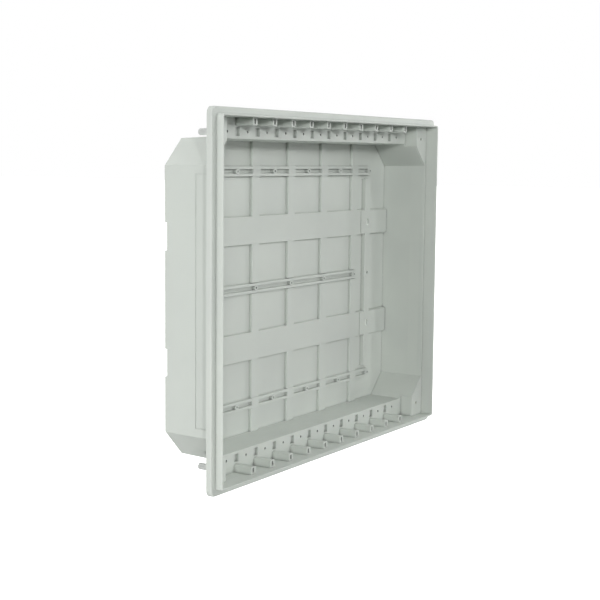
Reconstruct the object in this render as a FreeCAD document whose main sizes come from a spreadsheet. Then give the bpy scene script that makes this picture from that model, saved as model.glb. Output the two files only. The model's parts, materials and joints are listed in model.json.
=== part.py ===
import FreeCAD, Part
import os
import Sketcher

# Flush-mounting distribution board body: an empty moulded enclosure for three rows of
# modular devices, let into a wall.  +Z up, the open front towards -Y, +Y into the wall.
# The origin is the centre of the flange's back plane, where the flange meets the wall face.

V = FreeCAD.Vector
doc = FreeCAD.newDocument("flush_board_body")

# ---------------------------------------------------------------- driving dimensions
ROWS = [
    ("flange_w", 566, "flange, overall width"),
    ("flange_h", 450, "flange, overall height: three rows of rail_pitch"),
    ("flange_r", 8, "flange corner radius"),
    ("rim_depth", 7.5, "back-turned rim, from flange face to wall face"),
    ("rim_t", 2, "rim and flange plate thickness"),
    ("collar_w", 550, "collar, outside width"),
    ("collar_h", 433.4, "collar, outside height"),
    ("collar_t", 2, "collar wall thickness"),
    ("collar_out", 10, "collar stands this far in front of the flange face"),
    ("collar_r", 3, "collar outside corner radius"),
    ("seat_y", 1, "front face of the corner seats"),
    ("seat_t", 2.4, "corner seat thickness"),
    ("lip_t", 2.4, "tub lip thickness"),
    ("tub_w", 545, "tub, outside width at its lip"),
    ("tub_hi", 384.6, "tub, outside height at its lip"),
    ("tub_cham", 33.5, "leg of the tub's 45 degree corners"),
    ("tub_t", 2, "tub wall thickness"),
    ("tub_back", 70.2, "outer face of the back wall"),
    ("panel_y", 68, "inner face of the recessed back panels"),
    ("draft_deg", 2.25, "moulding draft"),
    ("band_up", 4, "height of the raised bands over the panels"),
    ("band_hz", 36.2, "height of the two horizontal bands"),
    ("band_z", 74.8, "centre height of the horizontal bands"),
    ("band_vw", 16.5, "width of the vertical bands"),
    ("band_vp", 85.8, "pitch of the vertical bands"),
    ("rail_pitch", 150, "pitch of the rail rows"),
    ("rail_half", 7, "half height of a rail seat"),
    ("rail_rib_a", 2.75, "rib, inner edge from the row's centre line"),
    ("rail_rib_b", 6.25, "rib, outer edge from the row's centre line"),
    ("rail_base", 0.8, "rail seat base thickness"),
    ("rail_up", 4.8, "rail seat ribs over the panels"),
    ("rail_boss_r", 3.9, "rail seat boss radius"),
    ("rail_hole_r", 1.5, "pilot hole in a rail seat boss"),
    ("pocket_half", 241.9, "half length of the ledge pockets"),
    ("ledge_y", 20, "front face of the ledges"),
    ("ledge_t", 2, "ledge thickness"),
    ("boss_pitch", 42.75, "pitch of the slotted bosses"),
    ("boss_w", 9.7, "slotted boss width"),
    ("boss_z", 205.1, "inner side of the slotted bosses"),
    ("boss_front", -5.3, "front end of the slotted bosses"),
    ("boss_slot_w", 3.9, "boss slot width"),
    ("boss_slot_l", 6.6, "boss slot length"),
    ("boss_slot_d", 14, "boss slot depth"),
    ("clip_w", 9.2, "clip pocket width"),
    ("clip_l", 10.2, "clip pocket height"),
    ("clip_d", 3.4, "clip pocket depth"),
    ("clip_z", 198, "centre height of clip pockets and pilot holes"),
    ("pilot_r", 1.7, "ledge pilot hole radius"),
    ("fix_x", 209.5, "wall slots, from the centre line"),
    ("fix_slot_w", 6.5, "wall slot width"),
    ("fix_slot_l", 10.4, "wall slot length"),
    ("plate_x", 190, "inner end of the fixing plates"),
    ("plate_x2", 267.7, "outer end of the fixing plates"),
    ("plate_h", 33.4, "fixing plate height"),
    ("plate_t", 1.2, "fixing plate thickness"),
    ("side_rib_w", 14.5, "width of the upright ribs under the fixing plates"),
    ("side_rib_z", 138, "half length of the upright ribs"),
    ("side_hole_r", 2.25, "wall screw hole at mid height of an upright rib"),
    ("chan_w", 4.8, "width of the channel beside an upright rib"),
    ("chan_d", 1.1, "channel depth"),
    ("sleeve_x", 256, "corner sleeves, from the centre line"),
    ("sleeve_z", 196.5, "corner sleeves, from mid height"),
    ("sleeve_r", 4, "corner sleeve radius"),
    ("sleeve_end", 29.4, "corner sleeve tip"),
    ("insert_r", 2.9, "brass insert radius"),
    ("insert_l", 10, "brass insert length"),
    ("thread_r", 1.65, "M4 thread, minor radius"),
    ("screw_clear_r", 2.3, "clearance hole in the corner seat"),
    ("blank_y1", 7.5, "side entry blank, front edge"),
    ("blank_y2", 23.5, "side entry blank, rear edge"),
    ("blank_z", 148.5, "side entry blank, half height"),
    ("blank_in", 0.6, "side entry blank, set back from the wall's face"),
    ("fs_x1", 250, "frame screw near the ledge, from the centre line"),
    ("fs_z1", 208, "frame screw near the ledge, from mid height"),
    ("fs_x2", 267, "frame screw at the side, from the centre line"),
    ("fs_z2", 181, "frame screw at the side, from mid height"),
    ("fs_r", 1.25, "frame screw shank radius"),
    ("fs_head_r", 2.6, "frame screw head radius"),
    ("fs_head_t", 1.7, "frame screw head height"),
]
sheet = doc.addObject("Spreadsheet::Sheet", "dims")
for i, (alias, value, note) in enumerate(ROWS, start=1):
    sheet.set("A%d" % i, alias)
    sheet.set("B%d" % i, str(value))
    sheet.set("C%d" % i, note)
    sheet.setAlias("B%d" % i, alias)
doc.recompute()


class Q:
    """A size as a number together with the spreadsheet expression that gives it."""

    def __init__(self, v, t):
        self.v, self.t = v, t

    def __add__(self, o):
        o = q(o)
        return Q(self.v + o.v, "(%s + %s)" % (self.t, o.t))

    def __radd__(self, o):
        return q(o) + self

    def __sub__(self, o):
        o = q(o)
        return Q(self.v - o.v, "(%s - %s)" % (self.t, o.t))

    def __rsub__(self, o):
        return q(o) - self

    def __mul__(self, o):
        o = q(o)
        return Q(self.v * o.v, "(%s * %s)" % (self.t, o.t))

    __rmul__ = __mul__

    def __truediv__(self, o):
        o = q(o)
        return Q(self.v / o.v, "(%s / %s)" % (self.t, o.t))

    def __neg__(self):
        return Q(-self.v, "(0 - %s)" % self.t)


def q(o):
    return o if isinstance(o, Q) else Q(float(o), repr(float(o)))


D = {alias: Q(float(value), "dims.%s" % alias) for alias, value, note in ROWS}


def bind(obj, prop, size):
    obj.setExpression(prop, q(size).t)


# ---------------------------------------------------------------- helpers
def box(name, x0, x1, y0, y1, z0, z1):
    b = doc.addObject("Part::Box", name)
    bind(b, "Length", q(x1) - x0)
    bind(b, "Width", q(y1) - y0)
    bind(b, "Height", q(z1) - z0)
    for k, c in (("x", x0), ("y", y0), ("z", z0)):
        bind(b, "Placement.Base.%s" % k, c)
    return b


def cyl(name, r, x, y0, y1, z):
    """A cylinder along Y."""
    c = doc.addObject("Part::Cylinder", name)
    c.Placement = FreeCAD.Placement(V(0, 0, 0), FreeCAD.Rotation(V(1, 0, 0), -90))
    bind(c, "Radius", r)
    bind(c, "Height", q(y1) - y0)
    for k, s in (("x", x), ("y", y0), ("z", z)):
        bind(c, "Placement.Base.%s" % k, s)
    return c


def fuse(name, shapes):
    f = doc.addObject("Part::MultiFuse", name)
    f.Shapes = shapes
    f.Refine = True
    return f


def cut(name, base, tool):
    c = doc.addObject("Part::Cut", name)
    c.Base, c.Tool = base, tool
    c.Refine = True
    return c


def common(name, shapes):
    c = doc.addObject("Part::MultiCommon", name)
    c.Shapes = shapes
    c.Refine = True
    return c


def fillet(name, base, r, wanted):
    """Rounds the edges that the test picks."""
    doc.recompute()
    f = doc.addObject("Part::Fillet", name)
    f.Base = base
    picked = [i for i, e in enumerate(base.Shape.Edges, start=1) if wanted(e)]
    if not picked:
        raise RuntimeError("no edges picked for " + name)
    f.Edges = [(i, q(r).v, q(r).v) for i in picked]
    doc.recompute()
    return f


def along_y(e):
    b = e.BoundBox
    return b.XLength < 0.01 and b.ZLength < 0.01 and b.YLength > 0.1


def rounded(name, x, y0, y1, z, r):
    """A block of half width x and half height z, with rounded corners, along Y."""
    return fillet(name, box(name + "_block", -x, x, y0, y1, -z, z), r, along_y)


def slot_z(name, w, ln, x, y0, y1, z):
    """An upright obround through hole tool."""
    r, half = w / 2, (ln - w) / 2
    return fuse(name, [
        box(name + "_mid", x - r, x + r, y0, y1, z - half, z + half),
        cyl(name + "_top", r, x, y0, y1, z + half),
        cyl(name + "_low", r, x, y0, y1, z - half)])


def origin_plane(body, role):
    for f in body.Origin.OriginFeatures:
        if f.Role == role:
            return f
    raise RuntimeError(role)


def sketch_xz(body, name, y):
    """A sketch across the depth, at depth y: its x is X and its y is Z."""
    sk = body.newObject("Sketcher::SketchObject", name)
    sk.AttachmentSupport = (origin_plane(body, "XZ_Plane"), "")
    sk.MapMode = "FlatFace"
    bind(sk, "AttachmentOffset.Base.z", -q(y))
    return sk


def polygon(sk, pts):
    first = sk.GeometryCount
    n = len(pts)
    for i in range(n):
        a, b = pts[i], pts[(i + 1) % n]
        sk.addGeometry(Part.LineSegment(V(q(a[0]).v, q(a[1]).v, 0), V(q(b[0]).v, q(b[1]).v, 0)), False)
    for i in range(n):
        sk.addConstraint(Sketcher.Constraint("Coincident", first + i, 2, first + (i + 1) % n, 1))
    for i in range(n):
        for kind, s in (("DistanceX", q(pts[i][0])), ("DistanceY", q(pts[i][1]))):
            k = sk.addConstraint(Sketcher.Constraint(kind, -1, 1, first + i, 1, s.v))
            bind(sk, "Constraints[%d]" % k, s)


def octagon(x, z, c):
    return [(x, z - c), (x - c, z), (-(x - c), z), (-x, z - c),
            (-x, -(z - c)), (-(x - c), -z), (x - c, -z), (x, -(z - c))]


def drafted_octagon(name, x, z, c, y0, y1, r=None):
    """A closed octagonal block that narrows with the draft towards the back."""
    body = doc.addObject("PartDesign::Body", name)
    sk = sketch_xz(body, name + "_outline", y0)
    polygon(sk, octagon(x, z, c))
    doc.recompute()
    pad = body.newObject("PartDesign::Pad", name + "_pad")
    pad.Profile = sk
    pad.Reversed = True
    bind(pad, "Length", q(y1) - y0)
    doc.recompute()
    front = q(y0).v
    sides, neutral = [], None
    for i, f in enumerate(pad.Shape.Faces, start=1):
        b = f.BoundBox
        if b.YLength > 0.1:
            sides.append("Face%d" % i)
        elif abs(b.YMin - front) < 0.01:
            neutral = "Face%d" % i
    draft = body.newObject("PartDesign::Draft", name + "_draft")
    draft.Base = (pad, sides)
    draft.NeutralPlane = (pad, [neutral])
    draft.Angle = D["draft_deg"].v
    body.Tip = draft
    doc.recompute()
    bind(draft, "Angle", D["draft_deg"])
    doc.recompute()
    if draft.Shape.isNull() or not draft.Shape.Volume < pad.Shape.Volume:
        raise RuntimeError("no draft on " + name)
    if r:
        edges = [i for i, e in enumerate(draft.Shape.Edges, start=1)
                 if max(p.Point.y for p in e.Vertexes) > front + 1]
        f = body.newObject("PartDesign::Fillet", name + "_round")
        f.Base = (draft, ["Edge%d" % i for i in edges])
        f.Radius = r
        body.Tip = f
        doc.recompute()
    return body


def revolved(name, prof, x, y, z):
    """A turned piece: prof is (radius, y) pairs in order, turned about a line along Y."""
    body = doc.addObject("PartDesign::Body", name)
    sk = body.newObject("Sketcher::SketchObject", name + "_profile")
    sk.AttachmentSupport = (origin_plane(body, "XY_Plane"), "")
    sk.MapMode = "FlatFace"
    polygon(sk, prof)
    doc.recompute()
    rev = body.newObject("PartDesign::Revolution", name + "_turn")
    rev.Profile = sk
    rev.ReferenceAxis = (sk, ["V_Axis"])
    rev.Angle = 360
    body.Tip = rev
    for k, s in (("x", x), ("y", y), ("z", z)):
        bind(body, "Placement.Base.%s" % k, s)
    doc.recompute()
    return body


NODES = []


def node(obj, name):
    obj.Label = name
    NODES.append(obj)
    return obj


# ---------------------------------------------------------------- shared positions
hw, hh = D["flange_w"] / 2, D["flange_h"] / 2
cw, ch = D["collar_w"] / 2, D["collar_h"] / 2
ciw, cih = cw - D["collar_t"], ch - D["collar_t"]
flange_y = -D["rim_depth"]
collar_y = flange_y - D["collar_out"]
seat_y, seat_back = D["seat_y"], D["seat_y"] + D["seat_t"]
lip_back = seat_back + D["lip_t"]
tw, th = D["tub_w"] / 2, D["tub_hi"] / 2
# the inner outline lies one wall thickness inside the outer one on all eight sides
tiw, tih, tic = tw - D["tub_t"], th - D["tub_t"], D["tub_cham"] - D["tub_t"] * 0.5858
pocket, pocket_out = D["pocket_half"], D["pocket_half"] + D["collar_t"]
ledge_y, ledge_back = D["ledge_y"], D["ledge_y"] + D["ledge_t"]
panel, band_y = D["panel_y"], D["panel_y"] - D["band_up"]
tapered_panel_w = 268.2

# ---------------------------------------------------------------- tools for the tub
cavity = drafted_octagon("tub_cavity", tiw, tih, tic, seat_back, panel)
cavity_front = drafted_octagon("seat_opening", tiw, tih, tic, seat_y - 1, seat_back + 1)
outer = drafted_octagon("tub_outside", tw, th, D["tub_cham"], seat_back, D["tub_back"], 1.6)
middle = drafted_octagon("tub_middle", tw - D["blank_in"], th - D["blank_in"], D["tub_cham"] - D["blank_in"] * 0.5858, seat_back, D["tub_back"])

# ---------------------------------------------------------------- front frame
plate = rounded("flange_plate", hw, flange_y, flange_y + D["rim_t"], hh, D["flange_r"])
rim_out = rounded("rim_outer", hw, flange_y, 0, hh, D["flange_r"])
rim_in = rounded("rim_inner", hw - D["rim_t"], flange_y + D["rim_t"] - 0.5, 1, hh - D["rim_t"], D["flange_r"] - D["rim_t"])
rim = cut("rim_ring", rim_out, rim_in)
collar_block = rounded("collar_block", cw, collar_y, seat_back, ch, D["collar_r"])
skin = fuse("frame_skin", [plate, rim, collar_block])
bowl = rounded("collar_inside", ciw, collar_y - 1, seat_y, cih, D["collar_r"] - 1)
ledge_gap = box("ledge_opening", -pocket, pocket, seat_y - 2, seat_back + 1, -cih, cih)
holes = [cyl("seat_hole_%d%d" % (i, j), D["screw_clear_r"], D["sleeve_x"] * i, seat_y - 1, seat_back + 1, D["sleeve_z"] * j)
         for i in (-1, 1) for j in (-1, 1)]
fs_at = [(D["fs_x1"] * i, D["fs_z1"] * j) for i in (-1, 1) for j in (-1, 1)] + \
        [(D["fs_x2"] * i, D["fs_z2"] * j) for i in (-1, 1) for j in (-1, 1)]
fs_front = seat_back - 1.6
fs_bores = [cyl("frame_screw_bore_%d" % i, D["fs_r"], x, fs_front, seat_back + 1, z) for i, (x, z) in enumerate(fs_at)]
frame_raw = cut("frame_raw", skin, fuse("frame_tools", [bowl, ledge_gap, cavity_front] + holes + fs_bores))
doc.recompute()


def flange_front_edge(e):
    b = e.BoundBox
    return abs(b.YMin - flange_y.v) < 0.01 and b.YLength < 0.01 and (
        max(abs(b.XMin), abs(b.XMax)) > hw.v - 0.05 or max(abs(b.ZMin), abs(b.ZMax)) > hh.v - 0.05)


def collar_front_edge(e):
    b = e.BoundBox
    return abs(b.YMin - collar_y.v) < 0.01 and b.YLength < 0.01


frame_a = fillet("frame_rounded_a", frame_raw, 1.8, flange_front_edge)
front_frame = node(fillet("frame_rounded_b", frame_a, 0.7, collar_front_edge), "front_frame")

# ---------------------------------------------------------------- rear tub
lip = cut("lip", box("lip_block", -cw, cw, seat_back, lip_back, -ch, ch),
          box("lip_gap", -pocket_out, pocket_out, seat_back - 1, lip_back + 1, -ch - 1, ch + 1))
shell = cut("tub_shell", fuse("tub_solid", [outer, lip]), cavity)


def front_along_z(y):
    return lambda e: e.BoundBox.YLength < 0.01 and e.BoundBox.XLength < 0.01 and abs(e.BoundBox.YMin - q(y).v) < 0.01


def front_along_x(y):
    return lambda e: e.BoundBox.YLength < 0.01 and e.BoundBox.ZLength < 0.01 and abs(e.BoundBox.YMin - q(y).v) < 0.01


bands = [fillet("band_h%d_round" % j, box("band_h%d" % j, -tapered_panel_w, tapered_panel_w, band_y, panel + 0.5,
                D["band_z"] * j - D["band_hz"] / 2, D["band_z"] * j + D["band_hz"] / 2), 0.7, front_along_x(band_y)) for j in (-1, 1)]
for k in range(-2, 3):
    bands.append(fillet("band_v%d_round" % (k + 2), box("band_v%d" % (k + 2), D["band_vp"] * k - D["band_vw"] / 2, D["band_vp"] * k + D["band_vw"] / 2,
                        band_y, panel + 0.5, -189, 189), 1.0, front_along_z(band_y)))
bands_in = common("bands_inside", [fuse("bands", bands), fuse("cavity_and_wall", [cavity, middle])])
rib_y = band_y - D["plate_t"]
rib_x1, rib_x2 = D["fix_x"] - D["side_rib_w"] / 2, D["fix_x"] + D["side_rib_w"] / 2
plate_lo, plate_hi = D["band_z"] - D["plate_h"] / 2, D["band_z"] + D["plate_h"] / 2
side_ribs = []
for i in (-1, 1):
    x0, x1 = (rib_x1, rib_x2) if i > 0 else (-rib_x2, -rib_x1)
    for zi, (z0, z1) in enumerate(((-D["side_rib_z"], -plate_hi), (-plate_lo, plate_lo), (plate_hi, D["side_rib_z"]))):
        side_ribs.append(fillet("side_rib%d%d_round" % (i, zi), box("side_rib%d%d" % (i, zi), x0, x1, rib_y, panel + 0.5, z0, z1),
                                1.0, front_along_z(rib_y)))
tub_a = fuse("tub_with_bands", [shell, bands_in] + side_ribs)
tools = []
# hollow backs of the horizontal bands, open at both side walls
for j in (-1, 1):
    tools.append(box("band_back%d" % j, -300, 300, band_y + 2.4, D["tub_back"] + 1,
                     D["band_z"] * j - D["band_hz"] / 2 + 1.6, D["band_z"] * j + D["band_hz"] / 2 - 1.6))
    # seats of the ledge strips
    z0, z1 = (180, ch + 1) if j > 0 else (-ch - 1, -180)
    tools.append(box("strip_seat%d" % j, -pocket_out, pocket_out, seat_back - 1, ledge_back, z0, z1))
# hollow backs of the vertical bands, between the horizontal bands and the rail seats
spans = []
for lo, hi in ((-D["rail_pitch"] + 10, -D["band_z"] - 19), (-D["band_z"] + 19, q(-10)), (q(10), D["band_z"] - 19),
               (D["band_z"] + 19, D["rail_pitch"] - 10), (D["rail_pitch"] + 10, q(178)), (q(-178), -D["rail_pitch"] - 10)):
    spans.append((lo, hi))
for k in range(-2, 3):
    for zi, (z0, z1) in enumerate(spans):
        tools.append(box("band_vback%d%d" % (k + 2, zi), D["band_vp"] * k - D["band_vw"] / 2 + 2.4, D["band_vp"] * k + D["band_vw"] / 2 - 2.4,
                         band_y + 2.4, D["tub_back"] + 1, z0, z1))
# gaps in the vertical bands for the rail seats, down to the panels
for zi, (zc, ln) in enumerate(((D["rail_pitch"], 230), (q(0), 190), (-D["rail_pitch"], 230))):
    tools.append(box("rail_gap%d" % zi, -ln, ln, band_y - 1, panel, zc - D["rail_half"], zc + D["rail_half"]))
for i in (-1, 1):
    x0, x1 = (rib_x1 - D["chan_w"], rib_x1) if i > 0 else (-rib_x1, -(rib_x1 - D["chan_w"]))
    for zi, (z0, z1) in enumerate(((-D["side_rib_z"], D["band_z"] * -1 - D["band_hz"] / 2), (-D["band_z"] + D["band_hz"] / 2, D["band_z"] - D["band_hz"] / 2),
                                   (D["band_z"] + D["band_hz"] / 2, D["side_rib_z"]))):
        tools.append(box("channel%d%d" % (i, zi), x0, x1, panel - 0.5, panel + D["chan_d"], z0, z1))
    # hollow backs of the upright ribs, and the hole through each at mid height
    x0, x1 = (rib_x1 + 2.4, rib_x2 - 2.4) if i > 0 else (-(rib_x2 - 2.4), -(rib_x1 + 2.4))
    for zi, (z0, z1) in enumerate(((-D["side_rib_z"] + 2, q(-95)), (q(-54.5), q(-5)), (q(5), q(54.5)), (q(95), D["side_rib_z"] - 2))):
        tools.append(box("side_rib_back%d%d" % (i, zi), x0, x1, rib_y + 2.4, D["tub_back"] + 1, z0, z1))
    tools.append(cyl("side_hole%d" % i, D["side_hole_r"], D["fix_x"] * i, rib_y - 1, D["tub_back"] + 1, q(0)))
    for j in (-1, 1):
        tools.append(slot_z("wall_slot_%d%d" % (i, j), D["fix_slot_w"], D["fix_slot_l"], D["fix_x"] * i, band_y - 1, band_y + 3.4, D["band_z"] * j))
        tools.append(cyl("sleeve_seat_%d%d" % (i, j), D["sleeve_r"], D["sleeve_x"] * i, seat_back - 1, lip_back + 1, D["sleeve_z"] * j))
    x0, x1 = (250, 290) if i > 0 else (-290, -250)
    tools.append(box("blank_window%d" % i, x0, x1, D["blank_y1"], D["blank_y2"], -D["blank_z"], D["blank_z"]))
tools += [cyl("lip_screw_hole_%d" % i, D["fs_r"], x, seat_back - 1, lip_back + 1, z) for i, (x, z) in enumerate(fs_at)]
rear_tub = node(cut("tub_cut", tub_a, fuse("tub_tools", tools)), "rear_tub")

# ---------------------------------------------------------------- ledge strips
for label, j in (("upper_boss_strip", 1), ("lower_boss_strip", -1)):
    def zz(a, b):
        return (q(a), q(b)) if j > 0 else (-q(b), -q(a))

    pre = label.split("_")[0]
    z0, z1 = zz(180, ch)
    solids = [box(pre + "_floor", -pocket_out, pocket_out, ledge_y, ledge_back, z0, z1)]
    for i in (-1, 1):
        x0, x1 = (pocket, pocket_out) if i > 0 else (-pocket_out, -pocket)
        solids.append(box("%s_end%d" % (pre, i), x0, x1, seat_back, ledge_back, z0, z1))
    z0, z1 = zz(cih, ch)
    solids.append(box(pre + "_wall", -pocket_out, pocket_out, seat_back, ledge_back, z0, z1))
    trough = cut(pre + "_trough", fuse(pre + "_trough_solid", solids), cavity)
    adds, cuts = [trough], []
    z0, z1 = zz(D["boss_z"], cih)
    bmid = (D["boss_z"] + cih) / 2
    for k in range(10):
        x = D["boss_pitch"] * (k - 4.5)
        blk = box("%s_boss%d" % (pre, k), x - D["boss_w"] / 2, x + D["boss_w"] / 2, D["boss_front"], ledge_y + 0.5, z0, z1)
        inner = D["boss_z"].v * j
        adds.append(fillet("%s_boss%d_round" % (pre, k), blk, 2.0,
                           lambda e: along_y(e) and abs(e.BoundBox.ZMin - inner) < 0.01))
        adds.append(box("%s_clip_back%d" % (pre, k), x - D["clip_w"] / 2 - 1.5, x + D["clip_w"] / 2 + 1.5, ledge_back - 0.5,
                        ledge_y + D["clip_d"] + 1.5, *zz(192.4, D["clip_z"] + D["clip_l"] / 2 + 1.5)))
        cuts.append(slot_z("%s_boss_slot%d" % (pre, k), D["boss_slot_w"], D["boss_slot_l"], x, D["boss_front"] - 1,
                           D["boss_front"] + D["boss_slot_d"], bmid * j))
        cuts.append(box("%s_clip%d" % (pre, k), x - D["clip_w"] / 2, x + D["clip_w"] / 2, ledge_y - 1, ledge_y + D["clip_d"],
                        *zz(D["clip_z"] - D["clip_l"] / 2, D["clip_z"] + D["clip_l"] / 2)))
    for k in range(11):
        x = D["boss_pitch"] * (k - 5)
        adds.append(cyl("%s_pilot_boss%d" % (pre, k), D["pilot_r"] + 1.5, x, ledge_back - 0.5, ledge_back + 3, D["clip_z"] * j))
        cuts.append(cyl("%s_pilot%d" % (pre, k), D["pilot_r"], x, ledge_y - 1, ledge_back + 2, D["clip_z"] * j))
    node(cut(pre + "_strip_cut", fuse(pre + "_strip_solid", adds), fuse(pre + "_strip_tools", cuts)), label)

# ---------------------------------------------------------------- rail seats
for label, zc, boss_at, crossings in (
        ("upper_rail_seat", D["rail_pitch"], [-2.5, -1.5, -0.5, 0.5, 1.5, 2.5], range(-2, 3)),
        ("middle_rail_seat", q(0), [-2, -1, 0, 1, 2], []),
        ("lower_rail_seat", -D["rail_pitch"], [-2.5, -1.5, -0.5, 0.5, 1.5, 2.5], range(-2, 3))):
    pre = label.split("_")[0] + "_rail"
    end = D["band_vp"] * boss_at[-1]
    top = panel - D["rail_up"]
    adds = [box(pre + "_base", -end, end, panel - D["rail_base"], panel, zc - D["rail_half"], zc + D["rail_half"])]
    for s in (-1, 1):
        a, b = (D["rail_rib_a"], D["rail_rib_b"]) if s > 0 else (-D["rail_rib_b"], -D["rail_rib_a"])
        adds.append(box("%s_rib%d" % (pre, s), -end, end, top, panel, zc + a, zc + b))
        adds.append(cyl("%s_end_base%d" % (pre, s), D["rail_half"], end * s, panel - D["rail_base"], panel, zc))
        adds.append(cut("%s_end_rib%d" % (pre, s),
                        cyl("%s_end_o%d" % (pre, s), D["rail_rib_b"], end * s, top, panel, zc),
                        cyl("%s_end_i%d" % (pre, s), D["rail_rib_a"], end * s, top - 1, panel - D["rail_base"], zc)))
    for k in crossings:
        adds.append(box("%s_block%d" % (pre, k + 2), D["band_vp"] * k - D["band_vw"] / 2, D["band_vp"] * k + D["band_vw"] / 2,
                        top, panel, zc - D["rail_half"], zc + D["rail_half"]))
    adds += [cyl("%s_boss%d" % (pre, i), D["rail_boss_r"], D["band_vp"] * k, top - 0.4, panel, zc) for i, k in enumerate(boss_at)]
    cuts = [cyl("%s_hole%d" % (pre, i), D["rail_hole_r"], D["band_vp"] * k, top - 2, panel - 0.6, zc) for i, k in enumerate(boss_at)]
    node(cut(pre + "_cut", fuse(pre + "_solid", adds), fuse(pre + "_holes", cuts)), label)

# ---------------------------------------------------------------- wall fixing plates
for vert, j in (("upper", 1), ("lower", -1)):
    for side, i in (("left", -1), ("right", 1)):
        x0, x1 = (D["plate_x"], D["plate_x2"]) if i > 0 else (-D["plate_x2"], -D["plate_x"])
        blk = box("plate_%s_%s" % (vert, side), x0, x1, band_y - D["plate_t"], band_y,
                  D["band_z"] * j - D["plate_h"] / 2, D["band_z"] * j + D["plate_h"] / 2)
        rb = fillet("plate_%s_%s_round" % (vert, side), blk, 1.0, along_y)
        node(cut("plate_cut_%s_%s" % (vert, side), rb,
                 slot_z("plate_slot_%s_%s" % (vert, side), D["fix_slot_w"], D["fix_slot_l"], D["fix_x"] * i, band_y - 3, band_y + 1, D["band_z"] * j)),
             "fixing_plate_%s_%s" % (vert, side))

# ---------------------------------------------------------------- corner sleeves and their threaded bushes
for vert, j in (("upper", 1), ("lower", -1)):
    for side, i in (("left", -1), ("right", 1)):
        ln = D["sleeve_end"] - seat_back
        r, ri = D["sleeve_r"], D["insert_r"]
        node(revolved("sleeve_%s_%s" % (vert, side),
                      [(ri, 0), (r, 0), (r, ln - 1.4), (r - 0.4, ln - 0.5), (r - 1.3, ln), (0, ln), (0, ln - 1.8), (D["thread_r"] + 0.4, ln - 1.8),
                       (D["thread_r"] + 0.4, D["insert_l"]), (ri, D["insert_l"])],
                      D["sleeve_x"] * i, seat_back, D["sleeve_z"] * j), "corner_sleeve_%s_%s" % (vert, side))
        node(revolved("insert_%s_%s" % (vert, side),
                      [(D["thread_r"], 0), (ri, 0), (ri, D["insert_l"]), (D["thread_r"], D["insert_l"])],
                      D["sleeve_x"] * i, seat_back, D["sleeve_z"] * j), "corner_insert_%s_%s" % (vert, side))

# ---------------------------------------------------------------- side entry blanks
for side, i in (("left", -1), ("right", 1)):
    x0, x1 = (250, 290) if i > 0 else (-290, -250)
    slab = common("blank_slab_" + side, [middle, box("blank_box_" + side, x0, x1, D["blank_y1"], D["blank_y2"], -D["blank_z"], D["blank_z"])])
    node(cut("blank_cut_" + side, slab, cavity), side + "_entry_blank")

# ---------------------------------------------------------------- frame screws, heads behind the lip
screws = []
for n, (x, z) in enumerate(fs_at):
    sh, hr, ht = lip_back - fs_front, D["fs_head_r"], D["fs_head_t"]
    screws.append(revolved("frame_screw_%d" % n,
                           [(0, 0), (D["fs_r"], 0), (D["fs_r"], sh), (hr, sh), (hr, sh + ht * 0.5), (hr * 0.72, sh + ht), (hr * 0.3, sh + ht),
                            (hr * 0.3, sh + ht * 0.35), (0, sh + ht * 0.35)], x, fs_front, z))
group = doc.addObject("Part::Compound", "frame_screw_set")
group.Links = screws
node(group, "frame_screws")

# ---------------------------------------------------------------- check and write
doc.recompute()
bad = [o.Name for o in doc.Objects if "Invalid" in o.State or "Error" in o.State]
if bad:
    raise RuntimeError("objects failed: %s" % bad)
os.makedirs("parts", exist_ok=True)
for o in NODES:
    s = o.Shape
    if s.isNull() or not s.isValid() or not s.Solids:
        raise RuntimeError("bad shape: " + o.Label)
    s.exportStep("parts/%s.step" % o.Label)
    b = s.BoundBox
    print("%-26s solids %d  volume %.1f cm3  x %.1f..%.1f y %.1f..%.1f z %.1f..%.1f" % (
        o.Label, len(s.Solids), s.Volume / 1000, b.XMin, b.XMax, b.YMin, b.YMax, b.ZMin, b.ZMax))
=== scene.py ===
import json
import math

import bpy
from mathutils import Matrix, Vector


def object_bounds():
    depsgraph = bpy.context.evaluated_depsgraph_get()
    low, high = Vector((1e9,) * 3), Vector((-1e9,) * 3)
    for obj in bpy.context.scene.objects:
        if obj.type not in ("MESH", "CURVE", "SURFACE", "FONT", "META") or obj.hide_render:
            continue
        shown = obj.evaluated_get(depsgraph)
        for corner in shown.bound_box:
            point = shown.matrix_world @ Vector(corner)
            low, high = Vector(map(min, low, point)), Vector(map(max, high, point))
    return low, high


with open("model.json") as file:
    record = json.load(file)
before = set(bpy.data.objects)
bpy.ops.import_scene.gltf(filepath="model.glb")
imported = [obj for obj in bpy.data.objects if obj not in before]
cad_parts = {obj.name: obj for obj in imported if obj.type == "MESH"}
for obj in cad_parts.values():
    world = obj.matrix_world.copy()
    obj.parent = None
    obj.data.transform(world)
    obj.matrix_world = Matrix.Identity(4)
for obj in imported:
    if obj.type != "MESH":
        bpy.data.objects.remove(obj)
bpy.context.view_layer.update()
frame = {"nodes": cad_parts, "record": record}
nodes = frame["nodes"]
scene = bpy.context.scene
scene.view_settings.view_transform = "Standard"
scene.view_settings.look = "None"


# ---------------------------------------------------------------- materials
def tree_of(name):
    m = bpy.data.materials.new(name)
    m.use_nodes = True
    t = m.node_tree
    shader = t.nodes["Principled BSDF"]
    where = t.nodes.new("ShaderNodeTexCoord")
    return m, t, shader, where.outputs["Object"]


def noise(t, vector, scale, detail=2.0, rough=0.5, offset=None):
    if offset is not None:
        shift = t.nodes.new("ShaderNodeMapping")
        shift.inputs["Location"].default_value = offset
        t.links.new(vector, shift.inputs["Vector"])
        vector = shift.outputs["Vector"]
    n = t.nodes.new("ShaderNodeTexNoise")
    n.inputs["Scale"].default_value = scale
    n.inputs["Detail"].default_value = detail
    n.inputs["Roughness"].default_value = rough
    t.links.new(vector, n.inputs["Vector"])
    return n.outputs["Fac"]


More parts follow.
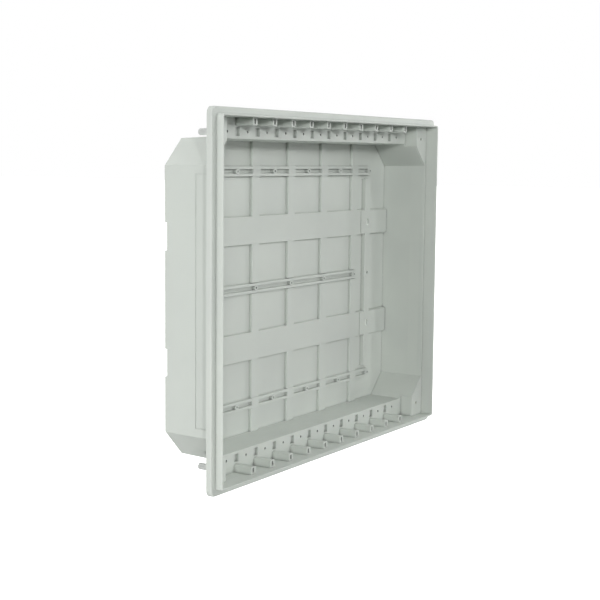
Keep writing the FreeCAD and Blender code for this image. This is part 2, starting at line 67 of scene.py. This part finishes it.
def ramp(t, value, stops):
    r = t.nodes.new("ShaderNodeValToRGB")
    e = r.color_ramp.elements
    while len(e) < len(stops):
        e.new(0.5)
    for k, (at, colour) in enumerate(stops):
        e[k].position = at
        e[k].color = (*colour, 1.0)
    t.links.new(value, r.inputs["Fac"])
    return r.outputs["Color"]


def spread(t, value, lo, hi, a, b):
    r = t.nodes.new("ShaderNodeMapRange")
    r.inputs["From Min"].default_value = lo
    r.inputs["From Max"].default_value = hi
    r.inputs["To Min"].default_value = a
    r.inputs["To Max"].default_value = b
    t.links.new(value, r.inputs["Value"])
    return r.outputs["Result"]


def bump(t, shader, height, strength, distance, before=None):
    b = t.nodes.new("ShaderNodeBump")
    b.inputs["Strength"].default_value = strength
    b.inputs["Distance"].default_value = distance
    t.links.new(height, b.inputs["Height"])
    if before is not None:
        t.links.new(before, b.inputs["Normal"])
    t.links.new(b.outputs["Normal"], shader.inputs["Normal"])
    return b.outputs["Normal"]


def mixed(t, a, b, share, how="MIX"):
    m = t.nodes.new("ShaderNodeMix")
    m.data_type = "RGBA"
    m.blend_type = how
    if isinstance(share, float):
        m.inputs[0].default_value = share
    else:
        t.links.new(share, m.inputs[0])
    t.links.new(a, m.inputs[6])
    t.links.new(b, m.inputs[7])
    return m.outputs[2]


def plastic(name, colour, seed, grain=0.00035, rough=0.52, reach=0.0040, depth=0.50):
    """Moulded thermoplastic: a spark-eroded fine grain, faint flow clouding, and roughness that varies a little.
    The base colour also carries painted shade, darker in corners, slots and pockets.
    """
    m, t, shader, at = tree_of(name)
    r, g, b = colour
    cloud = noise(t, at, 9.0, 3.0, 0.55, (seed, 0.3 * seed, 0.0))
    base = ramp(t, cloud, [
        (0.30, (r * 0.965, g * 0.965, b * 0.970)),
        (0.50, (r, g, b)),
        (0.72, (min(1, r * 1.025), min(1, g * 1.025), min(1, b * 1.020))),
    ])
    speck = noise(t, at, 1500.0, 1.0, 0.5, (0.0, seed, 0.2))
    fine = ramp(t, speck, [(0.30, (0.955, 0.955, 0.955)), (0.70, (1.0, 1.0, 1.0))])
    skin = mixed(t, base, fine, 0.6, "MULTIPLY")
    # painted shade in creases is multiplied into the base colour here
    t.links.new(painted_crease_shade(t, skin, reach, depth), shader.inputs["Base Color"])
    sheen = noise(t, at, 60.0, 3.0, 0.6, (seed, 1.0, 0.0))
    t.links.new(spread(t, sheen, 0.3, 0.7, rough - 0.05, rough + 0.06), shader.inputs["Roughness"])
    grit = noise(t, at, 1.0 / grain, 2.0, 0.6)
    wave = noise(t, at, 26.0, 2.0, 0.5, (0.0, 0.0, seed))
    first = bump(t, shader, wave, 0.05, 0.002)
    bump(t, shader, grit, 0.16, grain, first)
    shader.inputs["IOR"].default_value = 1.49
    shader.inputs["Specular IOR Level"].default_value = 0.38
    return m


def brass(name):
    m, t, shader, at = tree_of(name)
    tone = noise(t, at, 700.0, 3.0, 0.6)
    t.links.new(ramp(t, tone, [(0.3, (0.50, 0.33, 0.11)), (0.7, (0.68, 0.48, 0.19))]), shader.inputs["Base Color"])
    w = t.nodes.new("ShaderNodeTexWave")
    w.wave_type = "BANDS"
    w.bands_direction = "Y"
    w.inputs["Scale"].default_value = 900.0
    w.inputs["Distortion"].default_value = 1.0
    t.links.new(at, w.inputs["Vector"])
    t.links.new(spread(t, tone, 0.3, 0.7, 0.26, 0.40), shader.inputs["Roughness"])
    bump(t, shader, w.outputs["Fac"], 0.12, 0.0001)
    shader.inputs["Metallic"].default_value = 1.0
    return m


def steel(name):
    m, t, shader, at = tree_of(name)
    tone = noise(t, at, 900.0, 3.0, 0.6)
    t.links.new(ramp(t, tone, [(0.3, (0.46, 0.47, 0.48)), (0.7, (0.62, 0.63, 0.63))]), shader.inputs["Base Color"])
    t.links.new(spread(t, tone, 0.3, 0.7, 0.28, 0.44), shader.inputs["Roughness"])
    fine = noise(t, at, 4000.0, 2.0, 0.6)
    bump(t, shader, fine, 0.10, 0.00008)
    shader.inputs["Metallic"].default_value = 1.0
    return m


def painted_crease_shade(t, colour, reach, depth):
    """Painted shade: an ambient occlusion node darkens the base colour in corners, slots and pockets, for contrast
    that the lamps alone do not give.
    """
    crease_occlusion = t.nodes.new("ShaderNodeAmbientOcclusion")
    crease_occlusion.samples = 8
    crease_occlusion.inputs["Distance"].default_value = reach
    painted_shade = ramp(t, crease_occlusion.outputs["AO"], [(0.10, (depth, depth, depth)), (0.80, (1.0, 1.0, 1.0))])
    return mixed(t, colour, painted_shade, 1.0, "MULTIPLY")


GREY = (0.579, 0.616, 0.575)
# reach and depth set how far into the creases, and how dark, the painted shade goes
made = {
    "tub_plastic": plastic("tub_moulded_plastic", GREY, 1.0),
    "frame_plastic": plastic("frame_moulded_plastic", (0.594, 0.630, 0.590), 2.0, rough=0.48),
    "strip_plastic": plastic("strip_moulded_plastic", GREY, 3.0, reach=0.006, depth=0.34),
    "rail_plastic": plastic("rail_moulded_plastic", GREY, 4.0, reach=0.0045, depth=0.48),
    "plate_plastic": plastic("plate_moulded_plastic", GREY, 5.0, reach=0.006, depth=0.34),
    "sleeve_plastic": plastic("sleeve_moulded_plastic", (0.60, 0.62, 0.60), 6.0),
    "blank_plastic": plastic("blank_moulded_plastic", GREY, 7.0),
    "insert_brass": brass("turned_brass"),
    "screw_steel": steel("plated_steel"),
}
slots = {s["node"]: s["material_slot"] for s in frame["record"]["subparts"]}
for name, o in nodes.items():
    o.data.materials.clear()
    o.data.materials.append(made[slots[name]])

# ---------------------------------------------------------------- floor and light
lo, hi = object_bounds()
centre = (lo + hi) / 2


def backdrop():
    drop = lo.z - 0.30
    mesh = bpy.data.meshes.new("studio_floor")
    mesh.from_pydata([(-30, -30, drop), (30, -30, drop), (30, 30, drop), (-30, 30, drop)], [], [(0, 1, 2, 3)])
    floor = bpy.data.objects.new("studio_floor", mesh)
    scene.collection.objects.link(floor)
    m, t, shader, at = tree_of("studio_floor_paper")
    shader.inputs["Base Color"].default_value = (0.9, 0.9, 0.9, 1)
    shader.inputs["Roughness"].default_value = 0.9
    shader.inputs["Emission Color"].default_value = (1, 1, 1, 1)
    shader.inputs["Emission Strength"].default_value = 0.9
    mesh.materials.append(m)
    floor.visible_diffuse = False
    floor.visible_glossy = False
    floor.visible_shadow = False


backdrop()
world = bpy.data.worlds.new("studio_world")
scene.world = world
world.use_nodes = True
world.node_tree.nodes["Background"].inputs["Color"].default_value = (1, 1, 1, 1)
world.node_tree.nodes["Background"].inputs["Strength"].default_value = 1.0
world.cycles_visibility.diffuse = False
world.cycles_visibility.glossy = False
world.cycles_visibility.transmission = False
world.cycles_visibility.scatter = False


def softbox(name, az, el, width, strength):
    """A far softbox: az 0 is in front of the open side and 90 on its right, el is above the horizon, width is what it spans in degrees."""
    a, e = math.radians(az), math.radians(el)
    away = Vector((math.sin(a) * math.cos(e), -math.cos(a) * math.cos(e), math.sin(e)))
    light = bpy.data.lights.new(name, "SUN")
    light.angle = math.radians(width)
    light.energy = strength
    o = bpy.data.objects.new(name, light)
    o.location = centre + away * 3.0
    o.rotation_mode = "QUATERNION"
    o.rotation_quaternion = away.to_track_quat("Z", "Y")
    scene.collection.objects.link(o)
    return o


for row in (
    ("key_left", -56, 10, 6, 0.6926),
    ("key_front", -40, 10, 6, 0.8640),
    ("key_right", 56, 10, 6, 0.3276),
    ("high_front", -24, 24, 6, 0.3539),
    ("high_right", 24, 38, 6, 0.5427),
    ("side_left", -100, 0, 26, 0.7310),
    ("side_right", 75, 0, 26, 0.5859),
    ("low_front", -15, -25, 26, 0.3401),
    ("back_left", -135, 58, 26, 1.5559),
    ("top_right", 60, 58, 26, 0.6614),
    ("under_left", -100, -58, 26, 1.6046),
    ("under_right", 40, -58, 26, 0.6114),
    ("rear", 170, 20, 26, 1.2),
):
    softbox(*row)

# ---------------------------------------------------------------- camera
cam = bpy.data.cameras.new("camera")
eye = bpy.data.objects.new("camera", cam)
scene.collection.objects.link(eye)
cam.sensor_width = 36.0
cam.lens = 78.7424
a, e, r = math.radians(-58.254127), math.radians(6.157638), math.radians(0.542647)
back = Vector((math.sin(a) * math.cos(e), -math.cos(a) * math.cos(e), math.sin(e)))
right = (-back).cross(Vector((0, 0, 1))).normalized()
up = right.cross(-back)
cx = right * math.cos(r) + up * math.sin(r)
cy = -right * math.sin(r) + up * math.cos(r)
turn = Matrix((cx, cy, back)).transposed()
eye.matrix_world = Matrix.Translation(Vector((-1.491952, -0.873609, 0.166995))) @ turn.to_4x4()
cam.clip_start, cam.clip_end = 0.01, 100.0
scene.camera = eye
